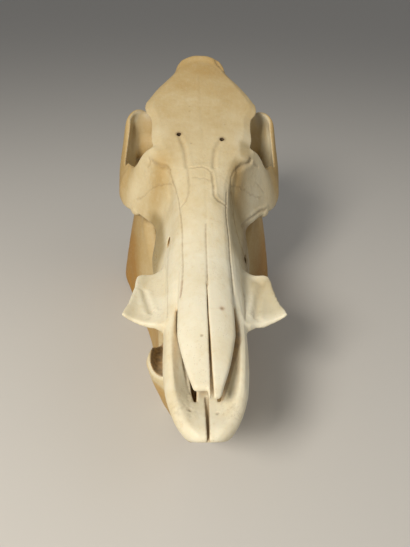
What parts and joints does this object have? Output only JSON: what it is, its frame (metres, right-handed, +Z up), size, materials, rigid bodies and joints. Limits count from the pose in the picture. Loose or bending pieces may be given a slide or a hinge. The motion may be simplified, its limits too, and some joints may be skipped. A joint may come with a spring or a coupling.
{
  "type": "wild boar skull, cranium and lower jaw",
  "caption": "Life-size still model of a wild boar skull, its cranium resting on its lower jaw, with the tusks missing from their sockets.",
  "frame": {"origin": "centre of the bounding box in plan, on the floor that the lower jaw rests on", "axes": "+Z up, +Y from the snout towards the back of the head, +X towards the animal's left"},
  "size_m": [0.1668, 0.3588, 0.2293],
  "materials": {
    "cranial_bone": "dry bone, cream on the snout and tan on the forehead, matt with a faint sheen",
    "jaw_bone": "dry bone, orange-brown along the rim of the jaw angles, matt"
  },
  "bodies": {
    "root": {"braincase": "cranial_bone", "zygomatic_arch_left": "cranial_bone", "zygomatic_arch_right": "cranial_bone", "maxilla_left": "cranial_bone", "maxilla_right": "cranial_bone", "nasal_left": "cranial_bone", "nasal_right": "cranial_bone", "premaxilla_left": "cranial_bone", "premaxilla_right": "cranial_bone", "mandible": "jaw_bone"}
  },
  "joints": []
}
